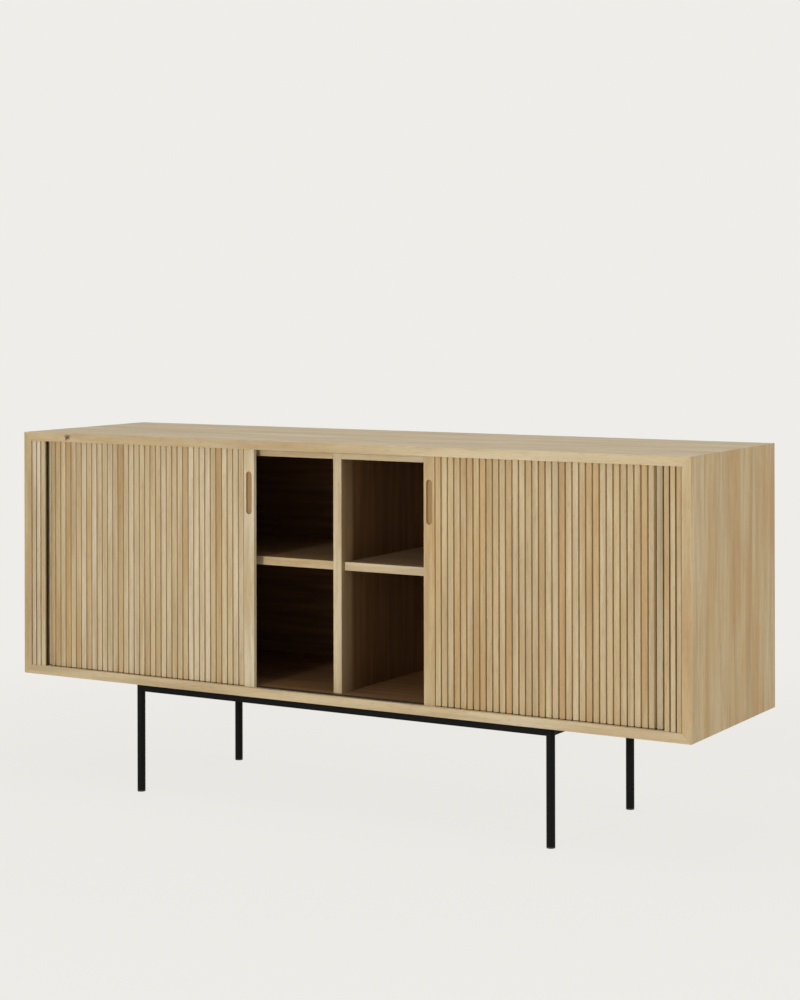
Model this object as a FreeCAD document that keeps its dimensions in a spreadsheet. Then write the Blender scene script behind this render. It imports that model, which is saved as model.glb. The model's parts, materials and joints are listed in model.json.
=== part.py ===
import FreeCAD, Part
import math
import os
import Sketcher

# Tambour door cabinet on a steel frame. Millimetres, +X right, the front faces -Y, +Z up.
# The origin is on the floor under the middle of the case.

SIZES = {
    # Case: four mitred boards and an inset back
    "case_width": 1650,
    "case_depth": 450,
    "case_height": 554,
    "case_board": 20,
    "back_board": 8,
    "back_inset": 6,
    # Boards inside the case, all set back behind the doors
    "inner_setback": 38,
    "inner_board": 16,
    "divider_board": 20,
    "partition_from_side": 198,
    "shelf_board": 18,
    "shelf_setback": 13,
    "shelf_share": 0.506,
    "shelf_clearance": 0.5,
    "pin_diameter": 5,
    "pin_length": 16,
    "pin_clearance": 0.1,
    "pin_edge": 60,
    # Tambour curtain: wooden slats side by side on a canvas back
    "slat_pitch": 14.9,
    "slat_gap": 0.6,
    "slat_groove": 3.2,
    "slat_depth": 9,
    "slat_chamfer": 0.9,
    "canvas_thickness": 0.8,
    "stile_width": 26,
    "stile_proud": 0.6,
    "pull_width": 14,
    "pull_height": 92,
    "pull_depth": 6,
    "pull_drop": 115,
    # Track: a groove in the top and the bottom board that ends in a scroll at each side
    "track_setback": 12,
    "track_clearance": 1.2,
    "track_depth": 7,
    "track_entry": 5.5,
    "track_floor_gap": 0.3,
    "scroll_from_side": 61.1,
    "scroll_radius": 50,
    "tail_clearance": 0.5,
    # Fixed slats that hide each scroll
    "strip_pitch": 13,
    "strip_gap": 2.4,
    "strip_groove": 2.8,
    "strip_setback": 2,
    "strip_depth": 6,
    "strip_backing": 3,
    # Steel frame
    "leg_height": 242.5,
    "leg_diameter": 18,
    "leg_bore": 15,
    "leg_side_inset": 314.5,
    "leg_front_inset": 33,
    "frame_forward": 7,
    "rail_height": 18,
    "rail_width": 12,
    "tab_length": 40,
    "tab_width": 30,
    "tab_thickness": 3,
    "tab_from_leg": 60,
    "tab_hole": 5,
    "screw_diameter": 4.2,
    "screw_clearance": 0.1,
    "screw_head": 9,
    "screw_head_height": 2.5,
    "screw_grip": 12,
    "glide_thickness": 3,
    "glide_spigot": 12,
    "glide_clearance": 0.1,
    # How far a cutting tool runs past the face that it cuts
    "overrun": 5,
}

# Sides as they count along X
SIDES = {"left": -1, "right": 1}
ENDS = {"front": -1, "rear": 1}

# Slats in each row. The doors stand part open, so their rows differ.
# A tail has stiff links of a few slats on the scroll and an end that runs straight on from it.
COUNTS = {
    "left_front_slats": 35,
    "right_front_slats": 33,
    "strip_slats": 3,
    "scroll_link_count": 5,
    "scroll_link_slats": 2,
    "left_end_slats": 5,
    "right_end_slats": 7,
}
SCROLL_GROUPS = COUNTS["scroll_link_count"] * (COUNTS["scroll_link_slats"],)
TAIL_GROUPS = {side: SCROLL_GROUPS + (COUNTS[side + "_end_slats"],) for side in SIDES}

doc = FreeCAD.newDocument("tambour_cabinet")
sheet = doc.addObject("Spreadsheet::Sheet", "sizes")
for row, (alias, number) in enumerate({**SIZES, **COUNTS}.items(), start=1):
    cell = "A%d" % row
    sheet.set(cell, str(number))
    sheet.setAlias(cell, alias)
doc.recompute()

# Places that several pieces share, as expressions on the sheet
HALF_WIDTH = "sizes.case_width / 2"
FRONT = "(-sizes.case_depth / 2)"
CASE_LOW = "sizes.leg_height"
CASE_HIGH = "(sizes.leg_height + sizes.case_height)"
FLOOR_IN = "(sizes.leg_height + sizes.case_board)"
ROOF_IN = "(sizes.leg_height + sizes.case_height - sizes.case_board)"
SIDE_IN = "(sizes.case_width / 2 - sizes.case_board)"
BACK_FACE = "(sizes.case_depth / 2 - sizes.back_inset - sizes.back_board)"
INNER_FRONT = "(-sizes.case_depth / 2 + sizes.inner_setback)"
CURTAIN_BACK = "(-sizes.case_depth / 2 + sizes.track_setback + sizes.slat_depth)"
DIVIDER_FACE = "sizes.divider_board / 2"
PARTITION_FACE = "(sizes.case_width / 2 - sizes.case_board - sizes.partition_from_side)"
SHELF_LOW = "(sizes.leg_height + sizes.case_height * sizes.shelf_share)"
SCROLL_START = "(sizes.case_width / 2 - sizes.case_board - sizes.scroll_from_side)"
HALF_SPREAD = "(sizes.case_width / 2 - sizes.leg_side_inset)"
HALF_REACH = "(sizes.case_depth / 2 - sizes.leg_front_inset)"

nodes = []


def value(expression):
    """The number that an expression on the sheet gives."""
    return float(sheet.evalExpression(str(expression)))


def keep(thing, label):
    """Names a finished sub-part, which is then written to its own file."""
    thing.Label = label
    nodes.append(thing)
    return thing


def box(name, low, high):
    """Box between two corners, each three expressions."""
    thing = doc.addObject("Part::Box", name)
    for side, axis, start, end in zip(("Length", "Width", "Height"), "xyz", low, high):
        thing.setExpression(side, "(%s) - (%s)" % (end, start))
        thing.setExpression("Placement.Base." + axis, str(start))
    return thing


def rod(name, diameter, length, place, direction=FreeCAD.Vector(0, 0, 1)):
    """Cylinder of a given diameter from a place along a direction."""
    thing = doc.addObject("Part::Cylinder", name)
    thing.setExpression("Radius", "(%s) / 2" % diameter)
    thing.setExpression("Height", str(length))
    thing.Placement.Rotation = FreeCAD.Rotation(FreeCAD.Vector(0, 0, 1), direction)
    for axis, start in zip("xyz", place):
        thing.setExpression("Placement.Base." + axis, str(start))
    return thing


def fuse(name, things):
    thing = doc.addObject("Part::MultiFuse", name)
    thing.Shapes = things
    return thing


def cut(name, base, tool):
    thing = doc.addObject("Part::Cut", name)
    thing.Base = base
    thing.Tool = tool
    return thing


def group(name, things):
    thing = doc.addObject("Part::Compound", name)
    thing.Links = things
    return thing


def outline(body, name, role, points):
    """Closed sketch on one of the body's planes, each corner held by two expressions."""
    planes = {feature.Role: feature for feature in body.Origin.OriginFeatures}
    sketch = body.newObject("Sketcher::SketchObject", name)
    sketch.AttachmentSupport = [(planes[role], "")]
    sketch.MapMode = "FlatFace"
    corners = [FreeCAD.Vector(value(x), value(y), 0) for x, y in points]
    count = len(corners)
    for index in range(count):
        sketch.addGeometry(Part.LineSegment(corners[index], corners[(index + 1) % count]), False)
    for index in range(count):
        sketch.addConstraint(Sketcher.Constraint("Coincident", index, 2, (index + 1) % count, 1))
    for index, (x, y) in enumerate(points):
        for kind, expression in (("DistanceX", x), ("DistanceY", y)):
            datum = Sketcher.Constraint(kind, -1, 1, index, 1, value(expression))
            number = sketch.addConstraint(datum)
            sketch.setExpression("Constraints[%d]" % number, str(expression))
    return sketch


def prism(name, role, points, length, midplane=False):
    """Body made by padding a closed outline."""
    body = doc.addObject("PartDesign::Body", name)
    sketch = outline(body, name + "_outline", role, points)
    pad = body.newObject("PartDesign::Pad", name + "_pad")
    pad.Profile = sketch
    pad.Midplane = midplane
    pad.setExpression("Length", str(length))
    doc.recompute()
    return body, pad


def slat_row(name, count, length, kind):
    """Row of slats along +X from the origin, with their backs on Y = 0 and their feet on Z = 0.

    The kind, slat or strip, names the sizes. Each slat narrows towards its front, which leaves
    a groove between two of them, and its two front edges are chamfered."""
    pitch, gap, groove, depth = ["sizes.%s_%s" % (kind, size) for size in ("pitch", "gap", "groove", "depth")]
    section = [
        (gap + " / 2", "0"),
        ("%s - %s / 2" % (pitch, gap), "0"),
        ("%s - %s / 2" % (pitch, groove), "-" + depth),
        (groove + " / 2", "-" + depth),
    ]
    body, pad = prism(name, "XY_Plane", section, length)
    front = -value(depth)
    front_edges = []
    for index, edge in enumerate(pad.Shape.Edges, start=1):
        upright = abs(edge.tangentAt(edge.FirstParameter).z) > math.cos(math.radians(45))
        if upright and math.isclose(edge.CenterOfMass.y, front, rel_tol=1e-6):
            front_edges.append("Edge%d" % index)
    eased = body.newObject("PartDesign::Chamfer", name + "_eased")
    eased.Base = (pad, front_edges)
    eased.setExpression("Size", "sizes.slat_chamfer")
    doc.recompute()
    if value(count) > 1:
        axes = {feature.Role: feature for feature in body.Origin.OriginFeatures}
        row = body.newObject("PartDesign::LinearPattern", name + "_row")
        row.Originals = [pad, eased]
        row.Direction = (axes["X_Axis"], [""])
        row.setExpression("Length", "%s * ((%s) - 1)" % (pitch, count))
        row.setExpression("Occurrences", str(count))
        body.Tip = row
    return body


def mirrored(name, source):
    """The same solid on the other side of the cabinet's middle."""
    thing = doc.addObject("Part::Mirroring", name)
    thing.Source = source
    thing.Normal = FreeCAD.Vector(1, 0, 0)
    return thing


def chord_angles():
    """Angle that each stiff length of the tail takes up on the scroll."""
    return [2 * math.asin(count * value("sizes.slat_pitch") / 2 / value("sizes.scroll_radius"))
            for count in SCROLL_GROUPS]


def scroll_turn():
    """Angle through which the track turns before it runs straight again."""
    return sum(chord_angles())


def tail_stations(side):
    """Start and heading of each stiff length of the tail, as X outwards, Y back and radians."""
    pitch = value("sizes.slat_pitch")
    x = value(SCROLL_START)
    y = value(CURTAIN_BACK)
    turned = 0
    stations = []
    for angle, count in zip(chord_angles() + [0], TAIL_GROUPS[side]):
        heading = turned + angle / 2
        stations.append((x, y, heading))
        x += count * pitch * math.cos(heading)
        y += count * pitch * math.sin(heading)
        turned += angle
    stations.append((x, y, turned))
    return stations


def track_cutter(name, low):
    """Groove for the curtain: a front run, and at each side a scroll with a straight end."""
    high = "(%s) + sizes.track_depth + sizes.overrun" % low
    outer = "(sizes.slat_depth + sizes.track_clearance)"
    inner = "(sizes.canvas_thickness + sizes.track_clearance)"
    front_run = box(
        name + "_front",
        ("-" + SCROLL_START, "%s - %s" % (CURTAIN_BACK, outer), low),
        (SCROLL_START, "%s + %s" % (CURTAIN_BACK, inner), high),
    )
    deep = "sizes.track_depth + sizes.overrun"
    centre = (SCROLL_START, CURTAIN_BACK + " + sizes.scroll_radius", low)
    sector = rod(name + "_outer", "2 * (sizes.scroll_radius + %s)" % outer, deep, centre)
    sector.Placement.Rotation = FreeCAD.Rotation(FreeCAD.Vector(0, 0, 1), -90)
    sector.Angle = math.degrees(scroll_turn())
    core = rod(name + "_core", "2 * (sizes.scroll_radius - %s)" % inner, deep, centre)
    bend = cut(name + "_bend", sector, core)
    end = box(
        name + "_end",
        ("0", "-" + outer, "0"),
        ("sizes.slat_pitch * %d" % (TAIL_GROUPS["right"][-1] + 1), inner, deep),
    )
    turn = scroll_turn()
    radius = value("sizes.scroll_radius")
    heading = FreeCAD.Rotation(FreeCAD.Vector(0, 0, 1), math.degrees(turn))
    start = FreeCAD.Vector(
        value(SCROLL_START) + radius * math.sin(turn),
        value(CURTAIN_BACK) + radius * (1 - math.cos(turn)),
        value(low),
    )
    for axis in "xyz":
        end.setExpression("Placement.Base." + axis, None)
    end.Placement = FreeCAD.Placement(
        start + heading.multVec(FreeCAD.Vector(0, -value(outer), 0)), heading)
    scroll = fuse(name + "_scroll", [bend, end])
    return fuse(name, [front_run, scroll, mirrored(name + "_other", scroll)])


def leg_places():
    """Name and centre of each leg, as expressions."""
    for end, along in ENDS.items():
        for side, across in SIDES.items():
            x = "%d * %s" % (across, HALF_SPREAD)
            y = "%d * %s - sizes.frame_forward" % (along, HALF_REACH)
            yield "%s_%s" % (end, side), x, y


def tab_places():
    """Centre of each fixing tab, which is welded to the inside of the front or rear rail."""
    for along in ENDS.values():
        for across in SIDES.values():
            x = "%d * (%s - sizes.tab_from_leg)" % (across, HALF_SPREAD)
            inwards = "(%s - sizes.rail_width / 2 - sizes.tab_width / 2)" % HALF_REACH
            yield x, "%d * %s - sizes.frame_forward" % (along, inwards)


def make_case():
    """Four boards that meet at mitres, with the tracks cut into the top and the bottom."""
    top_board, _ = prism("top_board", "XZ_Plane", [
        ("-%s" % HALF_WIDTH, CASE_HIGH),
        ("-%s" % SIDE_IN, ROOF_IN),
        (SIDE_IN, ROOF_IN),
        (HALF_WIDTH, CASE_HIGH),
    ], "sizes.case_depth", midplane=True)
    bottom_board, _ = prism("bottom_board", "XZ_Plane", [
        ("-%s" % HALF_WIDTH, CASE_LOW),
        (HALF_WIDTH, CASE_LOW),
        (SIDE_IN, FLOOR_IN),
        ("-%s" % SIDE_IN, FLOOR_IN),
    ], "sizes.case_depth", midplane=True)
    for side, sign in SIDES.items():
        panel, _ = prism(side + "_side", "XZ_Plane", [
            ("%d * %s" % (sign, HALF_WIDTH), CASE_LOW),
            ("%d * %s" % (sign, HALF_WIDTH), CASE_HIGH),
            ("%d * %s" % (sign, SIDE_IN), ROOF_IN),
            ("%d * %s" % (sign, SIDE_IN), FLOOR_IN),
        ], "sizes.case_depth", midplane=True)
        keep(panel, side + "_side_panel")

    track_high = "%s - sizes.overrun" % ROOF_IN
    keep(cut("top_cut", top_board, track_cutter("top_track", track_high)), "top_panel")

    pilots = []
    for index, (x, y) in enumerate(tab_places()):
        wide = "sizes.screw_diameter + 2 * sizes.screw_clearance"
        tall = "sizes.screw_grip + sizes.overrun"
        pilots.append(rod("pilot%d" % index, wide, tall, (x, y, "%s - sizes.overrun" % CASE_LOW)))
    track_low = "%s - sizes.track_depth" % FLOOR_IN
    tools = fuse("bottom_tools", [track_cutter("bottom_track", track_low)] + pilots)
    keep(cut("bottom_cut", bottom_board, tools), "bottom_panel")

    back = box(
        "back",
        ("-%s" % SIDE_IN, BACK_FACE, FLOOR_IN),
        (SIDE_IN, "%s + sizes.back_board" % BACK_FACE, ROOF_IN),
    )
    keep(back, "back_panel")


def make_inner_boards():
    """Divider, two partitions that wall off the scrolls, two ceilings and two shelves."""
    pin_heights = "%s - sizes.pin_diameter / 2 - sizes.pin_clearance" % SHELF_LOW
    pin_depths = (
        "%s + sizes.pin_edge" % INNER_FRONT,
        "%s - sizes.pin_edge" % BACK_FACE,
    )
    bored = "sizes.pin_diameter + 2 * sizes.pin_clearance"
    sunk = "sizes.pin_length / 2"
    pins = []
    divider_holes = []
    for side, sign in SIDES.items():
        outwards = FreeCAD.Vector(sign, 0, 0)
        near = "%d * %s" % (sign, DIVIDER_FACE)
        far = "%d * %s" % (sign, PARTITION_FACE)
        partition_holes = []
        for index, depth in enumerate(pin_depths):
            name = "%s_pin%d" % (side, index)
            start = "%s - %d * %s" % (near, sign, sunk)
            pins.append(rod(name + "_near", "sizes.pin_diameter", "sizes.pin_length",
                            (start, depth, pin_heights), outwards))
            divider_holes.append(rod(name + "_near_hole", bored, "%s + sizes.overrun" % sunk,
                                     (start, depth, pin_heights), outwards))
            start = "%s + %d * %s" % (far, sign, sunk)
            pins.append(rod(name + "_far", "sizes.pin_diameter", "sizes.pin_length",
                            (start, depth, pin_heights), outwards * -1))
            partition_holes.append(rod(name + "_far_hole", bored, "%s + sizes.overrun" % sunk,
                                       (start, depth, pin_heights), outwards * -1))
        outer = "%d * (%s + sizes.inner_board)" % (sign, PARTITION_FACE)
        low_x, high_x = (far, outer) if sign > 0 else (outer, far)
        board = box(side + "_partition_board", (low_x, INNER_FRONT, FLOOR_IN),
                    (high_x, BACK_FACE, ROOF_IN))
        tool = fuse(side + "_partition_holes", partition_holes)
        keep(cut(side + "_partition_cut", board, tool), side + "_partition")

        low_x, high_x = (near, far) if sign > 0 else (far, near)
        ceiling = box(side + "_ceiling_board", (low_x, INNER_FRONT, "%s - sizes.inner_board" % ROOF_IN),
                      (high_x, BACK_FACE, ROOF_IN))
        keep(ceiling, side + "_ceiling")
        shelf = box(
            side + "_shelf_board",
            ("%s + sizes.shelf_clearance" % low_x, "%s + sizes.shelf_setback" % INNER_FRONT, SHELF_LOW),
            ("%s - sizes.shelf_clearance" % high_x, "%s - sizes.shelf_clearance" % BACK_FACE,
             "%s + sizes.shelf_board" % SHELF_LOW),
        )
        keep(shelf, side + "_shelf")

    divider = box("divider_board", ("-" + DIVIDER_FACE, INNER_FRONT, FLOOR_IN),
                  (DIVIDER_FACE, BACK_FACE, ROOF_IN))
    keep(cut("divider_cut", divider, fuse("divider_holes", divider_holes)), "centre_divider")
    keep(group("pins", pins), "shelf_pins")


def make_fixed_slats(side, sign):
    """Short row of slats beside the case wall, glued to a backing board."""
    wide = "sizes.strip_slats * sizes.strip_pitch"
    tall = "%s - %s" % (ROOF_IN, FLOOR_IN)
    row = slat_row(side + "_strip", "sizes.strip_slats", tall, "strip")
    start = SIDE_IN + " - " + wide if sign > 0 else "-" + SIDE_IN
    back = "%s + sizes.strip_setback + sizes.strip_depth" % FRONT
    row.setExpression("Placement.Base.x", start)
    row.setExpression("Placement.Base.y", back)
    row.setExpression("Placement.Base.z", FLOOR_IN)
    keep(row, side + "_fixed_slats")
    backing = box(side + "_backing", (start, back, FLOOR_IN),
                  ("%s + %s" % (start, wide), "%s + sizes.strip_backing" % back, ROOF_IN))
    keep(backing, side + "_strip_backing")


def make_stile(side, sign, opening, low, high):
    """Wide leading slat of a door, with a round-ended finger pull sunk into its face."""
    width = "%d * sizes.stile_width" % sign
    low_x, high_x = (opening, "%s + %s" % (opening, width))
    if sign < 0:
        low_x, high_x = (high_x, low_x)
    face = "%s + sizes.track_setback" % FRONT
    behind = "%s + sizes.canvas_thickness + sizes.stile_proud" % CURTAIN_BACK
    blank = box(side + "_stile_blank", (low_x, face, low), (high_x, behind, high))
    middle = "%s + %s / 2" % (opening, width)
    reach = "(sizes.pull_height - sizes.pull_width) / 2"
    level = "%s - sizes.pull_drop" % CASE_HIGH
    mouth = "%s - sizes.overrun" % face
    deep = "sizes.pull_depth + sizes.overrun"
    slot = box(
        side + "_pull_slot",
        ("%s - sizes.pull_width / 2" % middle, mouth, "%s - %s" % (level, reach)),
        ("%s + sizes.pull_width / 2" % middle, "%s + sizes.pull_depth" % face, "%s + %s" % (level, reach)),
    )
    inwards = FreeCAD.Vector(0, 1, 0)
    upper = rod(side + "_pull_upper", "sizes.pull_width", deep,
                (middle, mouth, "%s + %s" % (level, reach)), inwards)
    lower = rod(side + "_pull_lower", "sizes.pull_width", deep,
                (middle, mouth, "%s - %s" % (level, reach)), inwards)
    pull = fuse(side + "_pull", [slot, upper, lower])
    keep(cut(side + "_stile_cut", blank, pull), side + "_lead_stile")


def make_door(side, sign):
    """Flat front of a curtain: leading stile, slats and canvas, with their ends in the track."""
    count = "sizes.%s_front_slats" % side
    low = "%s - sizes.track_depth + sizes.track_floor_gap" % FLOOR_IN
    high = "%s + sizes.track_entry" % ROOF_IN
    slats_wide = "%s * sizes.slat_pitch" % count
    opening = "%d * (%s - %s - sizes.stile_width)" % (sign, SCROLL_START, slats_wide)
    make_stile(side, sign, opening, low, high)

    row = slat_row(side + "_row", count, "(%s) - (%s)" % (high, low), "slat")
    start = SCROLL_START + " - " + slats_wide if sign > 0 else "-" + SCROLL_START
    row.setExpression("Placement.Base.x", start)
    row.setExpression("Placement.Base.y", CURTAIN_BACK)
    row.setExpression("Placement.Base.z", low)
    keep(row, side + "_front_slats")

    canvas = box(side + "_canvas_sheet", (start, CURTAIN_BACK, low),
                 ("%s + %s" % (start, slats_wide), "%s + sizes.canvas_thickness" % CURTAIN_BACK, high))
    keep(canvas, side + "_canvas")


def make_tail(side, sign):
    """Slats past the flat front, laid along the scroll in stiff lengths that hinge on the canvas."""
    tall = "%s - %s - 2 * sizes.tail_clearance" % (ROOF_IN, FLOOR_IN)
    foot = value("%s + sizes.tail_clearance" % FLOOR_IN)
    stations = tail_stations(side)
    for index, count in enumerate(TAIL_GROUPS[side]):
        row = slat_row("%s_tail%d" % (side, index + 1), count, tall, "slat")
        heading = stations[index][2]
        x, y, _ = stations[index] if sign > 0 else stations[index + 1]
        turn = FreeCAD.Rotation(FreeCAD.Vector(0, 0, 1), math.degrees(sign * heading))
        row.Placement = FreeCAD.Placement(FreeCAD.Vector(sign * x, y, foot), turn)
        keep(row, "%s_tail_slats_%d" % (side, index + 1))


def make_frame():
    """Four tube legs with glides, rails coped round them, and tabs with screws into the case."""
    rail_low = "%s - sizes.rail_height" % CASE_LOW
    glides = []
    for name, x, y in leg_places():
        tall = "%s - sizes.glide_thickness" % CASE_LOW
        foot = (x, y, "sizes.glide_thickness")
        tube = rod(name + "_tube", "sizes.leg_diameter", tall, foot)
        bore = rod(name + "_bore", "sizes.leg_bore", tall, foot)
        keep(cut(name + "_hollow", tube, bore), name + "_leg")
        pad = rod(name + "_glide_pad", "sizes.leg_diameter", "sizes.glide_thickness", (x, y, "0"))
        spigot = rod(name + "_glide_spigot", "sizes.leg_bore - 2 * sizes.glide_clearance",
                     "sizes.glide_thickness + sizes.glide_spigot", (x, y, "0"))
        glides.append(fuse(name + "_glide", [pad, spigot]))
    keep(group("glides", glides), "foot_glides")

    for end, along in ENDS.items():
        y = "(%d * %s - sizes.frame_forward)" % (along, HALF_REACH)
        bar = box(end + "_bar", ("-" + HALF_SPREAD, y + " - sizes.rail_width / 2", rail_low),
                  (HALF_SPREAD, y + " + sizes.rail_width / 2", CASE_LOW))
        copes = [rod("%s_%s_cope" % (end, side), "sizes.leg_diameter", "sizes.rail_height",
                     ("%d * %s" % (sign, HALF_SPREAD), y, rail_low)) for side, sign in SIDES.items()]
        keep(cut(end + "_coped", bar, fuse(end + "_copes", copes)), end + "_rail")
    for side, sign in SIDES.items():
        x = "(%d * %s)" % (sign, HALF_SPREAD)
        bar = box(side + "_bar",
                  (x + " - sizes.rail_width / 2", "-%s - sizes.frame_forward" % HALF_REACH, rail_low),
                  (x + " + sizes.rail_width / 2", "%s - sizes.frame_forward" % HALF_REACH, CASE_LOW))
        copes = [rod("%s_%s_end_cope" % (side, end), "sizes.leg_diameter", "sizes.rail_height",
                     (x, "%d * %s - sizes.frame_forward" % (along, HALF_REACH), rail_low))
                 for end, along in ENDS.items()]
        keep(cut(side + "_coped", bar, fuse(side + "_copes", copes)), side + "_end_rail")

    tabs = []
    screws = []
    for index, (x, y) in enumerate(tab_places()):
        tab_low = "%s - sizes.tab_thickness" % CASE_LOW
        plate = box("plate%d" % index,
                    (x + " - sizes.tab_length / 2", y + " - sizes.tab_width / 2", tab_low),
                    (x + " + sizes.tab_length / 2", y + " + sizes.tab_width / 2", CASE_LOW))
        hole = rod("tab_hole%d" % index, "sizes.tab_hole", "sizes.tab_thickness", (x, y, tab_low))
        tabs.append(cut("tab%d" % index, plate, hole))
        head_low = "%s - sizes.screw_head_height" % tab_low
        head = rod("head%d" % index, "sizes.screw_head", "sizes.screw_head_height", (x, y, head_low))
        shank_long = "sizes.screw_head_height + sizes.tab_thickness + sizes.screw_grip"
        shank = rod("shank%d" % index, "sizes.screw_diameter", shank_long, (x, y, head_low))
        screws.append(fuse("screw%d" % index, [head, shank]))
    keep(group("tabs", tabs), "frame_tabs")
    keep(group("screws", screws), "frame_screws")


make_case()
make_inner_boards()
for side_name, side_sign in SIDES.items():
    make_fixed_slats(side_name, side_sign)
    make_door(side_name, side_sign)
    make_tail(side_name, side_sign)
make_frame()
doc.recompute()

for item in doc.Objects:
    if "Invalid" in item.State or "Error" in item.State:
        raise RuntimeError("%s did not build: %s" % (item.Label, item.State))
for item in nodes:
    if item.Shape.isNull() or not item.Shape.isValid() or not item.Shape.Solids:
        raise RuntimeError("%s has no valid solid" % item.Label)

os.makedirs("parts", exist_ok=True)
for item in nodes:
    item.Shape.exportStep(os.path.join("parts", item.Label + ".step"))
print("%d sub-parts, %d solids" % (len(nodes), sum(len(item.Shape.Solids) for item in nodes)))
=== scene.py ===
import json
import math
from typing import NamedTuple

import bpy
import numpy as np
from mathutils import Euler, Matrix, Vector


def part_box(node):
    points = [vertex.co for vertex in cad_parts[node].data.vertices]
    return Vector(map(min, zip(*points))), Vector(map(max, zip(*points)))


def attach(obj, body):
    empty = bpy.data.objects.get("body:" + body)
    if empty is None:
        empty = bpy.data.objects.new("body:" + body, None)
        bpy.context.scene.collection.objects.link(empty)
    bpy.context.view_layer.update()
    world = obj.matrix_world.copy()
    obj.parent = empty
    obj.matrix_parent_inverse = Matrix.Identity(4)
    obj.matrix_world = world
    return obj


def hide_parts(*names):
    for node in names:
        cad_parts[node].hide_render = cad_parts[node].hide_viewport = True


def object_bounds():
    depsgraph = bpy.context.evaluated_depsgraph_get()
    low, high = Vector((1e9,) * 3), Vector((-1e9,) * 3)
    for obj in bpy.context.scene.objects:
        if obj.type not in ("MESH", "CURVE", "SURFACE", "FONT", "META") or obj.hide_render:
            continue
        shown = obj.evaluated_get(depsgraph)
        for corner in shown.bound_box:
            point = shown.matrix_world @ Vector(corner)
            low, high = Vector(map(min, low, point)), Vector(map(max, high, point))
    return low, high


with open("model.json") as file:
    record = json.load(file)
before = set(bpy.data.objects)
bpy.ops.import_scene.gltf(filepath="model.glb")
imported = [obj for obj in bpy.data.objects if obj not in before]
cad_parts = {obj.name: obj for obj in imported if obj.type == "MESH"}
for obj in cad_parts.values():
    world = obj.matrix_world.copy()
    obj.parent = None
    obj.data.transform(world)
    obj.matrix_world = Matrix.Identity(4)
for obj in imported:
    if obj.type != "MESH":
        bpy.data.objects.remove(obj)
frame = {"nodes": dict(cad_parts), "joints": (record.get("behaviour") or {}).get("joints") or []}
cad_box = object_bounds()

MILLIMETRE = 0.001
X_AXIS = Vector((1, 0, 0))
Y_AXIS = Vector((0, 1, 0))
Z_AXIS = Vector((0, 0, 1))
SIDES = {"left": -1, "right": 1}

# Camera, fitted to the edges of the case in an image of 800 by 1000 pixels
IMAGE_HEIGHT = 1000
FOCAL_LENGTH = 2185.3
HORIZON_ROW = 299.5
CAMERA_PLACE = (2.463, -4.131, 1.0995)
CAMERA_TURN = math.radians(30.328)
CAMERA_ROLL = math.radians(-0.114)
SENSOR_HEIGHT = 36

# Soft boxes: name, place, target, side in metres and power in watts
LAMPS = (
    ("front_soft_box", (-0.05, -4.4, 1.2), (0, 0, 0.5), 0.6, 78),
    ("right_soft_box", (4.6, -0.95, 1.4), (0.8, 0, 0.5), 1.8, 63),
    ("high_soft_box", (0, -0.3, 4.2), (0, 0, 0.8), 2.4, 42),
)
LAMP_COLOUR = (1, 0.975, 0.94)
WORLD_STRENGTH = 0.28

# Floor: half its side, the distances between which its shadow fades out, and how plain it is there
FLOOR_HALF = 14
SHADOW_FADE = (0.9, 2.4)
PLAIN_SHARES = (0.92, 1)


def shade(red, green, blue):
    """Linear colour of a screen colour with 0 to 255 per channel: the sRGB curve undone."""
    screen = np.array((red, green, blue)) / 255
    linear = np.where(screen <= 0.04045, screen / 12.92, ((screen + 0.055) / 1.055) ** 2.4)
    return (*linear.tolist(), 1)


# Colours of the studio
STUDIO_GREY = shade(239, 237, 233)
FLOOR_PAINT = shade(236, 234, 230)
WORLD_LIGHT = shade(255, 252, 246)

# Colours of the oak, from pale to dark, and of what is in it and on it
OAK_TONES = (
    (0.0, shade(221, 207, 178)),
    (0.3, shade(211, 194, 158)),
    (0.7, shade(203, 181, 139)),
    (0.9, shade(197, 169, 121)),
    (1.0, shade(193, 160, 111)),
)
OAK_SHADOW = shade(156, 126, 83)
OAK_PORE = shade(112, 84, 54)
KNOT = shade(96, 70, 44)
# Dark stain inside the case, in two browns for its streaks, which also paints the shade that falls deep
# inside
STAIN_AND_SHADE = shade(142, 105, 66)
STAIN_AND_SHADE_DARK = shade(114, 82, 51)
# Painted shade close to black: in the track, on the strip's flank that faces the door and on its backing
PAINTED_DEEP_SHADE = shade(24, 15, 10)
# Painted shade in the finger pull's recess
PULL_PAINTED_SHADE = shade(157, 123, 75)
# Painted light on the slats' flanks, in the grooves between them
FLANK_PAINTED_LIGHT = shade(224, 203, 164)
# Painted shade on the slats' ends, where they run in the track
TRACK_PAINTED_SHADE = shade(70, 48, 28)

# Colours of the frame, the fittings and the canvas
POWDER = shade(5, 5, 4)
POWDER_PATCH = shade(11, 11, 10)
ZINC = shade(176, 178, 180)
ZINC_CLOUD = shade(140, 140, 138)
GLIDE_PLASTIC = shade(26, 26, 26)
GLIDE_GRAIN = shade(38, 38, 38)
CANVAS_YARN = shade(170, 138, 96)
CANVAS_SLUB = shade(140, 112, 78)
CANVAS_SHADOW = shade(104, 82, 56)

# How much of the patches' colour the powder coat takes where their noise is 1
PATCH_SHARE = 0.5

# Tones that the staves of a piece are drawn from, between 0 for pale and 1 for dark
ALL_TONES = (0, 1)
BOARD_TONES = (0.25, 0.6)
SIDE_TONES = (0.66, 0.94)
# The right door's range is darker, partly its own tone and partly painted shade for the weaker light on
# that side
SLAT_TONES = {"left": (0, 0.95), "right": (0.42, 0.95)}
STRIP_TONES = {"left": (0, 0.5), "right": (0.55, 0.95)}
STILE_TONES = {"left": (0.15, 0.25), "right": (0.8, 0.9)}
LEVEL_TONES = {"left": (0.6, 0.7), "right": (0, 0.1)}

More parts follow.
